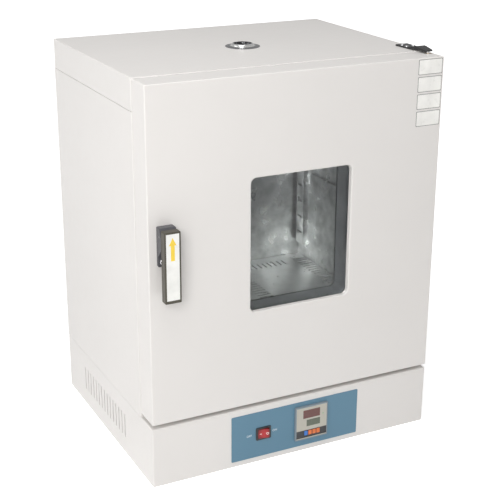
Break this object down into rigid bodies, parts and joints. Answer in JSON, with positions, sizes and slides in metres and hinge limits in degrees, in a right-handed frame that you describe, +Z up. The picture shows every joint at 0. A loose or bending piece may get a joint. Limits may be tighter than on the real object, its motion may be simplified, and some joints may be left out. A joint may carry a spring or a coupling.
{
  "type": "drying oven",
  "caption": "Bench-top forced-air drying oven: glazed hinged door with lever handle, slotted air floor, shelf uprights, fan and heaters below, exhaust vent on top, controls in the base.",
  "frame": {"origin": "middle of the footprint on the surface the oven stands on", "axes": "+Z up, -Y towards the user in front of the door, +X to the user's right"},
  "size_m": [0.6, 0.5302, 0.7685],
  "materials": {
    "enamel": "fine textured enamel, semi-gloss",
    "galvanised": "galvanised sheet",
    "panel_blue": "printed satin",
    "switch_black": "satin",
    "rocker_red": "translucent gloss",
    "case_grey": "fine matt",
    "display_glass": "gloss",
    "key_blue": "satin",
    "key_orange": "satin",
    "terminal_plastic": "moulded",
    "gland_black": "moulded",
    "fastener": "bright",
    "bright_steel": "brushed stainless sheet",
    "lagging": "mineral wool board",
    "heater_sheath": "oxidised",
    "motor_grey": "cast",
    "bush_brass": "machined",
    "impeller_metal": "bright sheet",
    "vent_steel": "polished stainless",
    "window_glass": "clear toughened",
    "seal_rubber": "silicone",
    "hinge_black": "black enamel",
    "handle_metal": "dark grey cast metal",
    "insert_white": "satin"
  },
  "bodies": {
    "cabinet": {"base_shell": "enamel", "base_floor": "galvanised", "control_panel": "panel_blue", "switch_housing": "switch_black", "controller_case": "case_grey", "display_windows": "display_glass", "terminal_block": "terminal_plastic", "cable_gland": "gland_black", "right_side_panel": "enamel", "left_side_panel": "enamel", "rear_panel": "enamel", "rear_screws": "fastener", "top_cover": "enamel", "front_frame": "enamel", "chamber_liner": "bright_steel", "side_insulation": "lagging", "rear_insulation": "lagging", "top_insulation": "lagging", "bottom_insulation": "lagging", "floor_plate": "bright_steel", "shelf_uprights": "bright_steel", "air_guides": "bright_steel", "heater_elements": "heater_sheath", "temperature_probe": "bright_steel", "motor_housing": "motor_grey", "shaft_bushes": "bush_brass", "motor_bracket": "galvanised", "vent_tube": "galvanised", "vent_flange": "vent_steel", "top_hinge_plate": "hinge_black", "bottom_hinge_plate": "hinge_black", "hinge_pins": "fastener", "hinge_washer": "bush_brass", "hinge_screws": "fastener", "latch_strike": "fastener"},
    "door": {"door_skin": "enamel", "door_inner_panel": "bright_steel", "outer_glass": "window_glass", "inner_glass": "window_glass", "window_jamb": "galvanised", "window_retainer": "bright_steel", "door_insulation": "lagging", "door_seal": "seal_rubber", "hinge_bushes": "bush_brass", "handle_base": "handle_metal", "handle_pin": "fastener", "handle_screws": "fastener"},
    "handle": {"handle_lever": "handle_metal", "handle_insert": "insert_white", "latch_tongue": "fastener"},
    "rocker": {"switch_rocker": "rocker_red"},
    "key_set": {"set_key": "key_blue"},
    "key_shift": {"shift_key": "key_orange"},
    "key_down": {"down_key": "key_orange"},
    "key_up": {"up_key": "key_orange"},
    "damper": {"vent_damper": "vent_steel"},
    "fan": {"fan_shaft": "fastener", "fan_impeller": "impeller_metal"}
  },
  "joints": [
    {"name": "door_swing", "type": "hinge", "parent": "cabinet", "child": "door", "pos_m": [0.289, -0.203, 0.445], "axis": [0, 0, 1], "range_deg": [0, 110]},
    {"name": "handle_pull", "type": "hinge", "parent": "door", "child": "handle", "pos_m": [-0.268, -0.252, 0.496], "axis": [-1, 0, 0], "range_deg": [0, 20], "stiffness_Nm_per_rad": 0.3, "springref_deg": -17.19},
    {"name": "power_rocker", "type": "hinge", "parent": "cabinet", "child": "rocker", "pos_m": [-0.0714, -0.239, 0.0598], "axis": [0, 0, 1], "range_deg": [0, 22]},
    {"name": "set_press", "type": "slide", "parent": "cabinet", "child": "key_set", "axis": [0, 1, 0], "range_m": [0, 0.0006], "stiffness_N_per_m": 200},
    {"name": "shift_press", "type": "slide", "parent": "cabinet", "child": "key_shift", "axis": [0, 1, 0], "range_m": [0, 0.0006], "stiffness_N_per_m": 200},
    {"name": "down_press", "type": "slide", "parent": "cabinet", "child": "key_down", "axis": [0, 1, 0], "range_m": [0, 0.0006], "stiffness_N_per_m": 200},
    {"name": "up_press", "type": "slide", "parent": "cabinet", "child": "key_up", "axis": [0, 1, 0], "range_m": [0, 0.0006], "stiffness_N_per_m": 200},
    {"name": "damper_turn", "type": "hinge", "parent": "cabinet", "child": "damper", "pos_m": [0.002, 0.003, 0.765], "axis": [0, 0, 1], "range_deg": [0, 45]},
    {"name": "fan_spin", "type": "hinge", "parent": "cabinet", "child": "fan", "pos_m": [0, -0.0064, 0.06], "axis": [0, 0, 1], "continuous": true}
  ]
}
